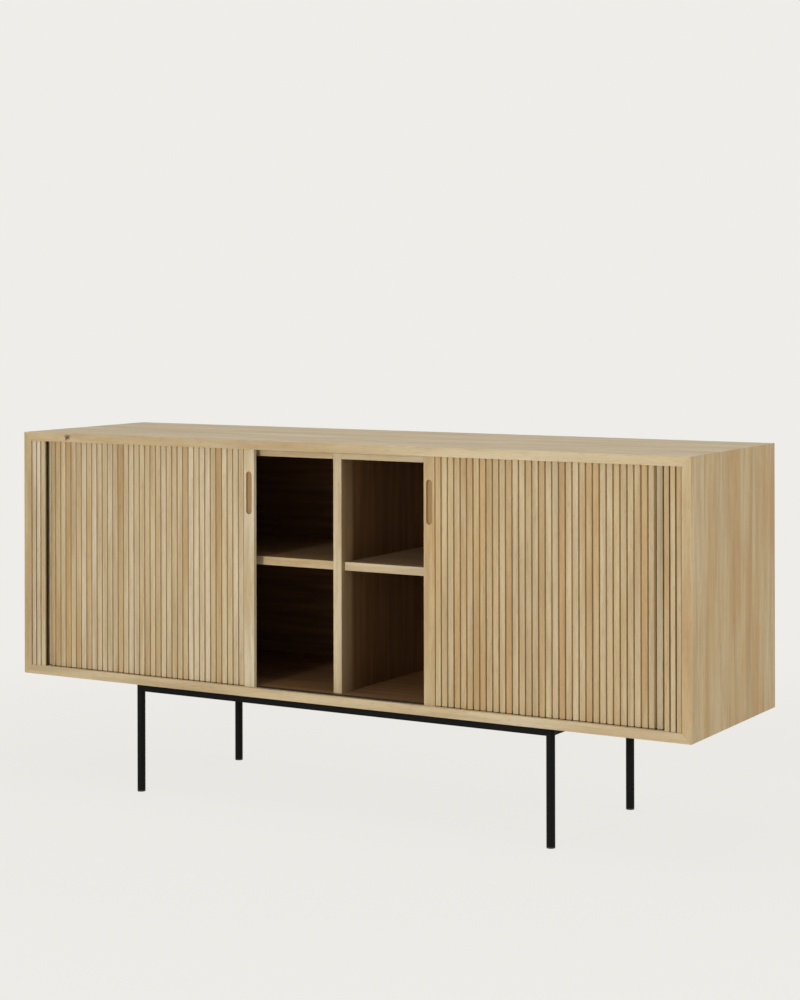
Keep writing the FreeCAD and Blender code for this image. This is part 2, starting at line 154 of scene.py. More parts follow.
# Seeds of the figure: those of a curtain's pieces are added to the curtain's own
TOP_SEED = 300
SIDE_SEEDS = {"left": 281, "right": 361}
BOTTOM_SEED = 340
BACK_SEED = 360
UPRIGHT_SEED = 380
LEVEL_SEEDS = {"left": 391, "right": 393}
CURTAIN_SEEDS = {"left": 11, "right": 47}
FRONT_SEED = 2
STILE_SEED = 3.5
TAIL_SEED = 60
TAIL_SEED_STEP = 10
STRIP_SEED = 200
BACKING_SEED = 300

# Widths of the staves that boards are glued up from, and one that takes in a whole piece
BOARD_STAVE = 75 * MILLIMETRE
SIDE_STAVE = 64 * MILLIMETRE
BACK_STAVE = 260 * MILLIMETRE
WHOLE_STAVE = 1

# Eased edges
BOARD_EDGE = 0.35 * MILLIMETRE
BACK_EDGE = 0.5 * MILLIMETRE
INNER_EDGE = 0.6 * MILLIMETRE
SLAT_EDGE = 0.5 * MILLIMETRE
TAIL_EDGE = 0.4 * MILLIMETRE
STILE_EDGE = 0.8 * MILLIMETRE
RAIL_EDGE = 0.8 * MILLIMETRE
EASE_SEGMENTS = 2
EASE_ANGLE = math.radians(35)
WELD_REACH = 0.01 * MILLIMETRE

# Noise: its mean, and for the oak the grains per metre along, across and deep, detail and roughness
NOISE_MEAN = 0.5
OAK_NOISE = {
    "wander": ((2.4, 11, 11), 2, 0.5),
    "fibre": ((9, 300, 300), 3, 0.6),
    "flame": ((3.2, 46, 46), 4, 0.55),
    "pores": ((40, 1000, 1000), 1, 0.5),
    "cloud": ((3.4, 17, 17), 3, 0.5),
}

# Oak: how far a step of the seed moves the figure, radians of ring per metre and by wander, how
# narrow the dark rings are, the noise where each mark starts and is full, how dark it gets, how far
# the tone drifts, and then the roughness and the relief
SEED_SHIFT = (0.731, 0.377, 0.193)
RING_RATE = 380
RING_WANDER = 34
RING_POWER = 1.6
RING_SHARE = 0.11
FIBRE_RANGE = (0.3, 0.75)
FIBRE_SHARE = 0.11
FLAME_RANGE = (0.36, 0.68)
FLAME_SHARE = 0.36
PORE_RANGE = (0.56, 0.74)
PORE_SHARE = 0.34
TONE_DRIFT = 1.3
OAK_ROUGHNESS = (0.42, 0.62)
OAK_RELIEF = 0.5
OAK_BUMP = 0.35
OAK_BUMP_DEPTH = 0.4 * MILLIMETRE

# Dark stain and painted shade inside the case: streaks per metre along each axis, their detail, and the
# noise where they start and end
LEVEL_STREAKS = (4, 70, 70)
UPRIGHT_STREAKS = (70, 70, 4)
STREAK_DETAIL = 3
STREAK_RANGE = (0.3, 0.7)

# Slats: painted light on their flanks, by distance behind the front, painted shade on the ends that run
# in the track, and the slats in each of a tail's first lengths
FLANK_START = 0.7 * MILLIMETRE
FLANK_FULL = 1.6 * MILLIMETRE
FLANK_SHARE = 0.7
SHADE_ABOVE_FLOOR = 1.3 * MILLIMETRE
SHADE_BELOW_TOP = 0.7 * MILLIMETRE
SHADE_SOFTNESS = 0.3 * MILLIMETRE
SLATS_PER_LENGTH = 2

# Finger pull: half the width that the painted shade takes in, and its distances behind the stile's front
PULL_HALF_WIDTH = 8 * MILLIMETRE
PULL_START = 0.6 * MILLIMETRE
PULL_END = 7 * MILLIMETRE
PULL_SHARE = 0.9

# Fixed strip: its slats, the reach of the painted shade on its edge, its distances behind the strip's
# front, and the share of painted shade all over the backing
STRIP_SLATS = 3
DARK_EDGE_REACH = 0.6 * MILLIMETRE
DARK_EDGE_START = 3 * MILLIMETRE
DARK_EDGE_FULL = 6 * MILLIMETRE
BACKING_SHARE = 0.7

# Knot in the top board's front edge, from its left end and its upper face
KNOT_FROM_END = 126 * MILLIMETRE
KNOT_FROM_TOP = 9.5 * MILLIMETRE
KNOT_HALF_WIDTH = 12 * MILLIMETRE
KNOT_HALF_HEIGHT = 8 * MILLIMETRE
KNOT_FULL = 6 * MILLIMETRE
KNOT_END = 12 * MILLIMETRE
KNOT_HEART = 0.2
KNOT_GRAIN = 170
KNOT_DETAIL = 2
KNOT_RAGGEDNESS = 1.6

# Track: where painted shade lies before, behind and under the doors, and the skin of a board that takes
# the stain and painted shade
TRACK_MARGIN = 3 * MILLIMETRE
TRACK_DEPTH = 9 * MILLIMETRE
TRACK_TOP = 0.4 * MILLIMETRE
LIP_WIDTH = 7 * MILLIMETRE
STAIN_AND_SHADE_RUN = 2 * MILLIMETRE
SKIN_START = 2 * MILLIMETRE
SKIN_FULL = 1 * MILLIMETRE

# Boards inside: where the bare lipping at the front gives way to stain and painted shade, how much of it
# the levels and the uprights take there, and how far in the painted shade on the uprights grows to full
LIPPING_START = 1 * MILLIMETRE
LIPPING_END = 4 * MILLIMETRE
LEVEL_SHARE = 0.75
UPRIGHT_SHARE = 0.7
FADE_END = 60 * MILLIMETRE

# Reach of the soft edge of a mask to each side
SOFT_EDGE = 0.2 * MILLIMETRE

# Canvas: the source's own thickness, the share of it that is drawn, and its grid and threads
CANVAS_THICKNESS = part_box("left_canvas")[1].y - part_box("left_canvas")[0].y
CLOTH_SHARE = 0.6
CANVAS_DIP = 0.15 * MILLIMETRE
CANVAS_THREAD = 1.2 * MILLIMETRE
CANVAS_ROWS = 9
STEPS_PER_SLAT = 6

# Screws in the back panel: their places, and a domed head with shares of its radius and height
SCREW_MARGIN = 14 * MILLIMETRE
SCREWS_ALONG = 8
SCREWS_UP = 4
HEAD_RADIUS = 3.6 * MILLIMETRE
HEAD_HEIGHT = 1.9 * MILLIMETRE
HEAD_SIDES = 20
DOME_RINGS = 6
DOME_ANGLE = math.radians(64.8)
SOCKET_RADII = (0.34, 0.30, 0)
SOCKET_STANDS = (0.92, 0.35, 0.3)
SHARP_ANGLE = math.radians(50)


class Cut(NamedTuple):
    """How a piece is cut from the oak: where its staves start, the way of the grain, the way across
    the staves, their width, the first one's seed and the tones that they are drawn from."""

    origin: Vector
    along: Vector
    across: Vector
    stave: float
    seed: float
    tones: tuple = ALL_TONES


class TailLength(NamedTuple):
    """A stiff length of a curtain's tail: its body, its hinge's place and the way it points."""

    body: str
    hinge: Vector
    along: Vector


def feed(tree, made, inputs):
    """Gives a node its inputs, each one a socket to link or a plain value."""
    for key, source in inputs.items():
        if isinstance(source, bpy.types.NodeSocket):
            tree.links.new(source, made.inputs[key])
        else:
            made.inputs[key].default_value = source


def node(tree, kind, inputs, **settings):
    """A shader node with its settings and its inputs."""
    made = tree.nodes.new(kind)
    for name, setting in settings.items():
        setattr(made, name, setting)
    feed(tree, made, inputs)
    return made


def maths(tree, operation, first, second=0.0, clamp=False):
    """The result of an operation on one or two values."""
    made = node(tree, "ShaderNodeMath", {0: first, 1: second}, operation=operation, use_clamp=clamp)
    return made.outputs[0]


def plus(tree, first, second, clamp=False):
    """The sum of two values."""
    return maths(tree, "ADD", first, second, clamp)


def minus(tree, first, second):
    """The first value less the second."""
    return maths(tree, "SUBTRACT", first, second)


def times(tree, first, second):
    """The product of two values."""
    return maths(tree, "MULTIPLY", first, second)


def larger(tree, first, second):
    """The larger of two values."""
    return maths(tree, "MAXIMUM", first, second)


def spread(tree, share, low, high):
    """Low where the share is 0, high where it is 1, and in proportion between them."""
    return plus(tree, times(tree, share, high - low), low)


def ramp_between(tree, source, low, high):
    """0 on low's side and 1 on high's, with a smooth step between them."""
    made = node(tree, "ShaderNodeMapRange", {"Value": source, "From Min": low, "From Max": high},
                interpolation_type="SMOOTHSTEP")
    return made.outputs["Result"]


def between(tree, source, low, high, soft=SOFT_EDGE):
    """1 where the source lies between two values, with soft ends."""
    above = ramp_between(tree, source, low - soft, low + soft)
    below = ramp_between(tree, source, high + soft, high - soft)
    return times(tree, above, below)


def vectors(tree, operation, first, second=(0, 0, 0)):
    """The outputs of an operation on one or two vectors."""
    return node(tree, "ShaderNodeVectorMath", {0: first, 1: second}, operation=operation).outputs


def axes_of(tree, place):
    """The three parts of a vector, by the names of the axes."""
    return node(tree, "ShaderNodeSeparateXYZ", {0: place}).outputs


def blend_colours(tree, share, first, second):
    """The first colour where the share is 0 and the second where it is 1."""
    made = node(tree, "ShaderNodeMix", {0: share, 6: first, 7: second}, data_type="RGBA")
    return made.outputs[2]


def object_place(tree):
    """The place on the object, in metres."""
    return node(tree, "ShaderNodeTexCoord", {}).outputs["Object"]


def noise(tree, place, scale, detail, roughness=0.5):
    """Noise with the given number of grains per unit of place."""
    made = node(tree, "ShaderNodeTexNoise",
                {"Vector": place, "Scale": scale, "Detail": detail, "Roughness": roughness})
    return made.outputs["Fac"]


def stretched_noise(tree, place, scale, detail, roughness=0.5):
    """Noise whose number of grains per metre differs from axis to axis."""
    scaled = vectors(tree, "MULTIPLY", place, scale)["Vector"]
    return noise(tree, scaled, 1, detail, roughness)


def relief(tree, height, strength, depth):
    """The normal of a surface with a fine relief."""
    made = node(tree, "ShaderNodeBump", {"Height": height, "Strength": strength, "Distance": depth})
    return made.outputs["Normal"]


def new_group(name, inputs, outputs):
    """An empty shader node group with named sockets, each given as (name, kind)."""
    tree = bpy.data.node_groups.new(name, "ShaderNodeTree")
    for socket, kind in inputs:
        tree.interface.new_socket(name=socket, in_out="INPUT", socket_type=kind)
    for socket, kind in outputs:
        tree.interface.new_socket(name=socket, in_out="OUTPUT", socket_type=kind)
    return tree, tree.nodes.new("NodeGroupInput").outputs, tree.nodes.new("NodeGroupOutput")


def new_material(name):
    """A material with its tree of nodes and the shader in it."""
    material = bpy.data.materials.new(name)
    material.use_nodes = True
    tree = material.node_tree
    return material, tree, tree.nodes["Principled BSDF"]


def tone_ramp(tree, tone):
    """The oak's colour at a tone between 0 and 1."""
    ramp = node(tree, "ShaderNodeValToRGB", {"Fac": tone})
    stops = ramp.color_ramp.elements
    while len(stops) < len(OAK_TONES):
        stops.new(1)
    for stop, (position, colour) in zip(stops, OAK_TONES):
        stop.position = position
        stop.color = colour
    return ramp.outputs["Color"]


def oak_figure_group():
    """Oak: growth rings that wander along the board, flames, fine fibre, and short dark pores.

    Place holds the distance along the grain, across it and into the board, in metres. Seed moves
    the figure, so that each stave has its own, and Tone picks the colour that the stave drifts about."""
    tree, given, result = new_group(
        "oak_figure",
        [("Place", "NodeSocketVector"), ("Seed", "NodeSocketFloat"), ("Tone", "NodeSocketFloat")],
        [("Color", "NodeSocketColor"), ("Roughness", "NodeSocketFloat"), ("Height", "NodeSocketFloat")],
    )
    shift = node(tree, "ShaderNodeVectorMath", {0: SEED_SHIFT, "Scale": given["Seed"]},
                 operation="SCALE")
    place = vectors(tree, "ADD", given["Place"], shift.outputs["Vector"])["Vector"]
    grain = {name: stretched_noise(tree, place, *values) for name, values in OAK_NOISE.items()}

    across = axes_of(tree, place)["Y"]
    phase = plus(tree, times(tree, across, RING_RATE), times(tree, grain["wander"], RING_WANDER))
    wave = times(tree, plus(tree, maths(tree, "SINE", phase), 1), 0.5)
    rings = times(tree, maths(tree, "POWER", wave, RING_POWER), RING_SHARE)
    fibre = times(tree, ramp_between(tree, grain["fibre"], *FIBRE_RANGE), FIBRE_SHARE)
    flame = times(tree, ramp_between(tree, grain["flame"], *FLAME_RANGE), FLAME_SHARE)
    pores = ramp_between(tree, grain["pores"], *PORE_RANGE)
    drift = times(tree, minus(tree, grain["cloud"], NOISE_MEAN), TONE_DRIFT)
    tone = plus(tree, given["Tone"], drift, clamp=True)

    depth = plus(tree, plus(tree, rings, fibre), flame)
    colour = blend_colours(tree, depth, tone_ramp(tree, tone), OAK_SHADOW)
    colour = blend_colours(tree, times(tree, pores, PORE_SHARE), colour, OAK_PORE)
    height = minus(tree, times(tree, grain["fibre"], OAK_RELIEF), times(tree, pores, OAK_RELIEF))
    roughness = spread(tree, grain["fibre"], *OAK_ROUGHNESS)
    feed(tree, result, {"Color": colour, "Roughness": roughness, "Height": height})
    return tree


def stain_and_shade_group():
    """Dark stain in streaks between two browns, which also paints the shade deep inside the case. Grain
    holds the streaks per metre along each axis.
    """
    tree, given, result = new_group(
        "stain_and_shade_tree",
        [("Place", "NodeSocketVector"), ("Grain", "NodeSocketVector")],
        [("Color", "NodeSocketColor")],
    )
    streaks = stretched_noise(tree, given["Place"], given["Grain"], STREAK_DETAIL)
    stained_shade = blend_colours(tree, ramp_between(tree, streaks, *STREAK_RANGE), STAIN_AND_SHADE, STAIN_AND_SHADE_DARK)
    feed(tree, result, {"Color": stained_shade})
    return tree


def stain_and_shade_colour(tree, position, along):
    """The colour of the dark stain and painted shade, with streaks that run along the grain."""
    grain = UPRIGHT_STREAKS if along.z else LEVEL_STREAKS
    stained_shade = node(tree, "ShaderNodeGroup", {"Place": position, "Grain": grain}, node_tree=stain_and_shade_tree)
    return stained_shade.outputs["Color"]


def grain_place(tree, position, cut):
    """Distances along the grain, across it and into the board, and the one across by itself."""
    offset = vectors(tree, "SUBTRACT", position, cut.origin)["Vector"]
    distances = [vectors(tree, "DOT_PRODUCT", offset, direction)["Value"]
                 for direction in (cut.along, cut.across, cut.along.cross(cut.across))]
    place = node(tree, "ShaderNodeCombineXYZ", dict(zip("XYZ", distances))).outputs[0]
    return place, distances[1]


def coated(tree, colour, position, along, layers):
    """A colour under layers, each one a mask and a coat, of which a later one lies over an earlier.

    A mask is a function that works out from the place how much its coat hides. A coat is a colour, or
    a function that makes one."""
    axes = axes_of(tree, position)
    for mask, coat in layers:
        upper = coat(tree, position, along) if callable(coat) else coat
        colour = blend_colours(tree, mask(tree, axes), colour, upper)
    return colour


def oak_finish(name, cut, *layers):
    """Oak in staves that lie side by side, each with its own figure and tone, under layers of oil,
    wax or stain where there are any."""
    material, tree, surface = new_material(name)
    position = object_place(tree)
    place, over = grain_place(tree, position, cut)
    number = plus(tree, maths(tree, "FLOOR", maths(tree, "DIVIDE", over, cut.stave)), cut.seed)
    chance = node(tree, "ShaderNodeTexWhiteNoise", {"W": number}, noise_dimensions="1D").outputs["Value"]
    tone = spread(tree, chance, *cut.tones)
    oak = node(tree, "ShaderNodeGroup", {"Place": place, "Seed": number, "Tone": tone},
               node_tree=oak_figure).outputs
    colour = oak["Color"]
    if layers:
        colour = coated(tree, colour, position, cut.along, layers)
    feed(tree, surface, {
        "Base Color": colour,
        "Roughness": oak["Roughness"],
        "Normal": relief(tree, oak["Height"], OAK_BUMP, OAK_BUMP_DEPTH),
    })
    return material


def powder_coat():
    """Matt black coat with the fine texture that baked powder leaves."""
    material, tree, surface = new_material("powder_coat")
    position = object_place(tree)
    grit = noise(tree, position, scale=2600, detail=1)
    patch = noise(tree, position, scale=18, detail=2)
    feed(tree, surface, {
        "Base Color": blend_colours(tree, times(tree, patch, PATCH_SHARE), POWDER, POWDER_PATCH),
        "Roughness": spread(tree, patch, low=0.5, high=0.66),
        "Specular IOR Level": 0.12,
        "Normal": relief(tree, grit, strength=0.25, depth=0.2 * MILLIMETRE),
    })
    return material


def zinc_plate():
    """Zinc plated steel: a pale metal with a faint cloud of dull spots."""
    material, tree, surface = new_material("zinc_plate")
    cloud = noise(tree, object_place(tree), scale=420, detail=3)
    feed(tree, surface, {
        "Base Color": blend_colours(tree, cloud, ZINC, ZINC_CLOUD),
        "Metallic": 1,
        "Roughness": spread(tree, cloud, low=0.25, high=0.5),
    })
    return material


def moulded_plastic():
    """Black moulded plastic with a fine spark-eroded grain."""
    material, tree, surface = new_material("moulded_plastic")
    grain = noise(tree, object_place(tree), scale=1500, detail=2)
    feed(tree, surface, {
        "Base Color": blend_colours(tree, grain, GLIDE_PLASTIC, GLIDE_GRAIN),
        "Roughness": spread(tree, grain, low=0.45, high=0.65),
        "Normal": relief(tree, grain, strength=0.3, depth=0.2 * MILLIMETRE),
    })
    return material


def canvas_weave():
    """Plain weave on the sheet's own map, in threads: the product of two sine waves."""
    material, tree, surface = new_material("canvas_weave")
    threads = node(tree, "ShaderNodeUVMap", {}).outputs["UV"]
    axes = axes_of(tree, threads)
    waves = [maths(tree, "SINE", times(tree, axes[axis], math.pi)) for axis in "XY"]
    weave_height = times(tree, *waves)
    raised = ramp_between(tree, maths(tree, "ABSOLUTE", weave_height), low=0, high=0.4)
    slub = noise(tree, threads, scale=0.4, detail=3)
    yarn = blend_colours(tree, slub, CANVAS_YARN, CANVAS_SLUB)
    feed(tree, surface, {
        "Base Color": blend_colours(tree, raised, CANVAS_SHADOW, yarn),
        "Roughness": 0.9,
        "Sheen Weight": 0.2,
        "Normal": relief(tree, weave_height, strength=0.5, depth=0.3 * MILLIMETRE),
    })
    return material


def weld_points(piece):
    """Merges the points of a piece that lie at one place."""
    weld = piece.modifiers.new("weld", "WELD")
    weld.merge_threshold = WELD_REACH


def dress(name, material, edge=0.0):
    """Gives a CAD node its finish and, where edge isn't 0, eased edges of that width."""
    piece = frame["nodes"][name]
    for slot in piece.material_slots:
        slot.material = material
    if edge:
        weld_points(piece)
        bevel = piece.modifiers.new("ease", "BEVEL")
        bevel.width = edge
        bevel.segments = EASE_SEGMENTS
        bevel.limit_method = "ANGLE"
        bevel.angle_limit = EASE_ANGLE
        bevel.use_clamp_overlap = False
        bevel.harden_normals = False


def new_piece(name, points, faces, material, body, threads=None):
    """A mesh piece from arrays of points and faces, riding on a body."""
    mesh = bpy.data.meshes.new(name)
    mesh.from_pydata(points.tolist(), [], faces.tolist())
    if threads is not None:
        corners = np.empty(len(mesh.loops), int)
        mesh.loops.foreach_get("vertex_index", corners)
        mesh.uv_layers.new(name="threads").data.foreach_set("uv", threads[corners].ravel())
    mesh.materials.append(material)
    piece = bpy.data.objects.new(name, mesh)
    bpy.context.scene.collection.objects.link(piece)
    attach(piece, body)
    return piece


def grid_faces(rows, columns, closed=False):
    """Quads of a grid of rows by columns of points, joined round the columns where closed."""
    last = columns if closed else columns - 1
    row, column = np.meshgrid(np.arange(rows - 1), np.arange(last), indexing="ij")
    start = row * columns
    after = (column + 1) % columns
    quads = [start + column, start + after, start + columns + after, start + columns + column]
    return np.stack(quads, axis=-1).reshape(-1, 4)


def canvas_points(origin, along, inwards, width, low, high, slats):
    """Canvas behind a row of slats: a flat grid that dips a little between each two of them.

    Point (u, v) lies u along the row and v up. It stands off the slats' backs by half the canvas and
    twice the dip, less a sink: the dip times a cosine wave of u, which is 1 between two slats and 0
    behind the middle of one."""
    up, over = np.meshgrid(np.linspace(low, high, CANVAS_ROWS),
                           np.linspace(0, width, slats * STEPS_PER_SLAT + 1), indexing="ij")
    sink = CANVAS_DIP * (0.5 + 0.5 * np.cos(2 * np.pi * over * slats / width))
    stand = CANVAS_THICKNESS / 2 + 2 * CANVAS_DIP - sink
    points = np.asarray(origin) + over[..., None] * np.asarray(along)
    points += stand[..., None] * np.asarray(inwards)
    points[..., 2] = up
    return points.reshape(-1, 3), up.shape, np.stack((over, up), axis=-1).reshape(-1, 2)


def hang_canvas(name, row, body, origin, along, inwards, pitch, slats):
    """A strip of canvas glued to the backs of a row of slats."""
    low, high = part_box(row)
    width = slats * pitch
    points, shape, laid = canvas_points(origin, along, inwards, width, low.z, high.z, slats)
    piece = new_piece(name, points, grid_faces(*shape), weave, body, laid / CANVAS_THREAD)
    thick = piece.modifiers.new("thickness", "SOLIDIFY")
    thick.thickness = CANVAS_THICKNESS * CLOTH_SHARE
    thick.offset = 0
    return piece


def screw_head_points(centre):
    """Domed screw head that faces +Y: rings round its axis, from the middle of its back out to the
    rim, over the dome and down into a round socket.

    A ring of the dome at angle a has the head's radius times cos(a) and stands out by its height
    times sin(a). The first ring and the last are points, which close the head."""
    turns = np.linspace(0, 2 * np.pi, HEAD_SIDES, endpoint=False)
    arc = np.linspace(0, DOME_ANGLE, DOME_RINGS)
    radii = HEAD_RADIUS * np.concatenate(((0,), np.cos(arc), SOCKET_RADII))
    stands = HEAD_HEIGHT * np.concatenate(((0,), np.sin(arc), SOCKET_STANDS))
    points = np.stack((
        radii[:, None] * np.cos(turns),
        np.broadcast_to(stands[:, None], (len(stands), len(turns))),
        -radii[:, None] * np.sin(turns),
    ), axis=-1)
    return (points + np.asarray(centre)).reshape(-1, 3), (len(radii), len(turns))


def back_screws():
    """Screws round the edge of the back panel, even along each side."""
    low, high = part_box("back_panel")
    along = np.linspace(low.x + SCREW_MARGIN, high.x - SCREW_MARGIN, SCREWS_ALONG)
    up = np.linspace(low.z + SCREW_MARGIN, high.z - SCREW_MARGIN, SCREWS_UP)
    places = [(x, z) for x in along for z in (up[0], up[-1])]
    places += [(x, z) for z in up[1:-1] for x in (along[0], along[-1])]
    points, faces = [], []
    for number, (x, z) in enumerate(places):
        head, shape = screw_head_points((x, high.y, z))
        points.append(head)
        faces.append(grid_faces(*shape, closed=True) + number * len(head))
    piece = new_piece("back_screws", np.concatenate(points), np.concatenate(faces), zinc, "case")
    piece.data.shade_smooth()
    piece.data.set_sharp_from_angle(angle=SHARP_ANGLE)
    weld_points(piece)


def tail_lengths(side, sign):
    """The stiff lengths of a curtain's tail, from the front on."""
    joints = {joint["name"]: joint for joint in frame["joints"]}
    turned = 0.0
    number = 1
    while "%s_tail_%d_hinge" % (side, number) in joints:
        body = "%s_tail_%d" % (side, number)
        hinge = joints[body + "_hinge"]
        turned += math.radians(max(abs(limit) for limit in hinge["range_deg"]))
        along = Vector((sign * math.cos(turned), math.sin(turned), 0))
        yield TailLength(body, Vector(hinge["pos_m"]), along)
        number += 1


def dress_front(side, start, inwards, pitch):
    """Slats of a door's flat front, with painted light on their flanks and painted shade at both ends,
    where they run in the track, and the canvas behind them."""
    row = side + "_front_slats"
    low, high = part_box(row)
    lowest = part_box("bottom_panel")[1].z + SHADE_ABOVE_FLOOR
    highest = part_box(side + "_ceiling")[1].z - SHADE_BELOW_TOP

    # Painted light on the flanks, which lie in the grooves
    def on_the_flanks(tree, axes):
        flank = ramp_between(tree, axes["Y"], low.y + FLANK_START, low.y + FLANK_FULL)
        return times(tree, flank, FLANK_SHARE)

    # Painted shade on both ends, where the slats run in the track
    def at_the_ends(tree, axes):
        return minus(tree, 1, between(tree, axes["Z"], lowest, highest, SHADE_SOFTNESS))

    cut = Cut(start, Z_AXIS, inwards, pitch, CURTAIN_SEEDS[side] + FRONT_SEED, SLAT_TONES[side])
    painted_slats = oak_finish(row, cut, (on_the_flanks, FLANK_PAINTED_LIGHT), (at_the_ends, TRACK_PAINTED_SHADE))
    dress(row, painted_slats, SLAT_EDGE)
    canvas = hang_canvas(side + "_canvas_cloth", row, side + "_door", (start.x, high.y, 0), inwards,
                         Y_AXIS, pitch, round((high.x - low.x) / pitch))
    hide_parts(side + "_canvas")


def dress_stile(side):
    """Leading stile of a door, with painted shade in its finger pull."""
    stile = side + "_lead_stile"
    low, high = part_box(stile)
    middle = (low.x + high.x) / 2

    # Painted shade in the pull's recess
    def in_the_pull(tree, axes):
        wide = between(tree, axes["X"], middle - PULL_HALF_WIDTH, middle + PULL_HALF_WIDTH)
        deep = between(tree, axes["Y"], low.y + PULL_START, low.y + PULL_END)
        return times(tree, times(tree, wide, deep), PULL_SHARE)

    cut = Cut(low, Z_AXIS, X_AXIS, WHOLE_STAVE, CURTAIN_SEEDS[side] + STILE_SEED, STILE_TONES[side])
    dress(stile, oak_finish(stile, cut, (in_the_pull, PULL_PAINTED_SHADE)), STILE_EDGE)


def dress_strip(side, sign):
    """Fixed strip of slats at one end and its backing, with painted shade close to black on the flank
    that faces the door, and dark over all of the backing, which shows only in the grooves."""
    strip = side + "_fixed_slats"
    backing = side + "_strip_backing"
    low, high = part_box(strip)

    # Painted shade close to black on the flank that faces the door
    def dark_edge(name):
        ends = [corner.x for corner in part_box(name)]
        edge = ends[0] if sign > 0 else ends[1]

        def mask(tree, axes):
            flank = between(tree, axes["X"], edge - DARK_EDGE_REACH, edge + DARK_EDGE_REACH)
            deep = ramp_between(tree, axes["Y"], low.y + DARK_EDGE_START, low.y + DARK_EDGE_FULL)
            return times(tree, flank, deep)

        return mask

    # Painted shade over all of the backing, which shows only in the grooves
    def dark_all_over(tree, axes):
        return larger(tree, dark_edge(backing)(tree, axes), BACKING_SHARE)

    seed = CURTAIN_SEEDS[side]
    strip_cut = Cut(low, Z_AXIS, X_AXIS, (high.x - low.x) / STRIP_SLATS, seed + STRIP_SEED,
                    STRIP_TONES[side])
    dress(strip, oak_finish(strip, strip_cut, (dark_edge(strip), PAINTED_DEEP_SHADE)), SLAT_EDGE)
    backing_cut = Cut(low, Z_AXIS, X_AXIS, WHOLE_STAVE, seed + BACKING_SEED)
    dress(backing, oak_finish(backing, backing_cut, (dark_all_over, PAINTED_DEEP_SHADE)))


def dress_tail(side, sign, lengths, pitch):
    """Slats of a curtain's tail, and the canvas behind each stiff length of it."""
    for number, (body, hinge, along) in enumerate(lengths, start=1):
        slats = "%s_tail_slats_%d" % (side, number)
        seed = CURTAIN_SEEDS[side] + TAIL_SEED + TAIL_SEED_STEP * number
        dress(slats, oak_finish(slats, Cut(hinge, Z_AXIS, along, pitch, seed)), TAIL_EDGE)
        corners = np.array([vertex.co for vertex in frame["nodes"][slats].data.vertices])
        reach = ((corners - np.asarray(hinge)) @ np.asarray(along)).max()
        hang_canvas("%s_tail_cloth_%d" % (side, number), slats, body, hinge, along,
                    Z_AXIS.cross(along) * sign, pitch, round(reach / pitch))


def dress_curtain(side, sign):
    """One tambour door, front and tail, and the fixed strip that it rolls up behind."""
    lengths = list(tail_lengths(side, sign))
    start = lengths[0].hinge
    pitch = (lengths[1].hinge - start).length / SLATS_PER_LENGTH
    dress_front(side, start, X_AXIS * -sign, pitch)
    dress_stile(side)
    dress_strip(side, sign)
    dress_tail(side, sign, lengths, pitch)


def dress_top():
    """Top board, with a knot in its front edge: an ellipse with a ragged rim."""
    knot = Vector((cad_box[0].x + KNOT_FROM_END, cad_box[0].y, cad_box[1].z - KNOT_FROM_TOP))

    def at_the_knot(tree, axes):
        wide = maths(tree, "DIVIDE", minus(tree, axes["X"], knot.x), KNOT_HALF_WIDTH)
        tall = maths(tree, "DIVIDE", minus(tree, axes["Z"], knot.z), KNOT_HALF_HEIGHT)
        squares = [maths(tree, "POWER", part, 2) for part in (wide, tall)]
        spot = node(tree, "ShaderNodeCombineXYZ", {"X": axes["X"], "Y": axes["Z"]}).outputs[0]
        ragged = minus(tree, noise(tree, spot, KNOT_GRAIN, KNOT_DETAIL), NOISE_MEAN)
        away = plus(tree, maths(tree, "SQRT", plus(tree, *squares)),
                    times(tree, ragged, KNOT_RAGGEDNESS))
        near_the_front = ramp_between(tree, axes["Y"], knot.y + KNOT_END, knot.y + KNOT_FULL)
        return times(tree, ramp_between(tree, away, 1, KNOT_HEART), near_the_front)

    cut = Cut(cad_box[0], X_AXIS, Y_AXIS, BOARD_STAVE, TOP_SEED, BOARD_TONES)
    dress("top_panel", oak_finish("oak_top", cut, (at_the_knot, KNOT)), BOARD_EDGE)


def dress_sides():
    """Side boards, in bare oak."""
    for side in SIDES:
        cut = Cut(cad_box[0], Z_AXIS, Y_AXIS, SIDE_STAVE, SIDE_SEEDS[side], SIDE_TONES)
        dress(side + "_side_panel", oak_finish("oak_%s_side" % side, cut), BOARD_EDGE)


def dress_bottom():
    """Bottom board: dark stain and painted shade behind the track, and painted shade close to black in
    the track and on its rear lip.
    """
    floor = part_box("bottom_panel")[1].z
    front, back = (corner.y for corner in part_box("left_lead_stile"))

    def upper_face(tree, axes):
        return ramp_between(tree, axes["Z"], floor - SKIN_START, floor - SKIN_FULL)

    # Dark stain and painted shade on the floor behind the doors
    def behind_the_track(tree, axes):
        return times(tree, upper_face(tree, axes),
                     ramp_between(tree, axes["Y"], back, back + STAIN_AND_SHADE_RUN))

    # Painted shade close to black in the groove and on the lip just behind the doors
    def in_the_track(tree, axes):
        groove = times(tree, between(tree, axes["Y"], front - TRACK_MARGIN, back + TRACK_MARGIN),
                       between(tree, axes["Z"], floor - TRACK_DEPTH, floor - TRACK_TOP))
        lip = times(tree, between(tree, axes["Y"], back, back + LIP_WIDTH), upper_face(tree, axes))
        return larger(tree, groove, lip)

    cut = Cut(cad_box[0], X_AXIS, Y_AXIS, BOARD_STAVE, BOTTOM_SEED, BOARD_TONES)
    stained_and_shaded = oak_finish("oak_bottom", cut, (behind_the_track, stain_and_shade_colour), (in_the_track, PAINTED_DEEP_SHADE))
    dress("bottom_panel", stained_and_shaded, BOARD_EDGE)


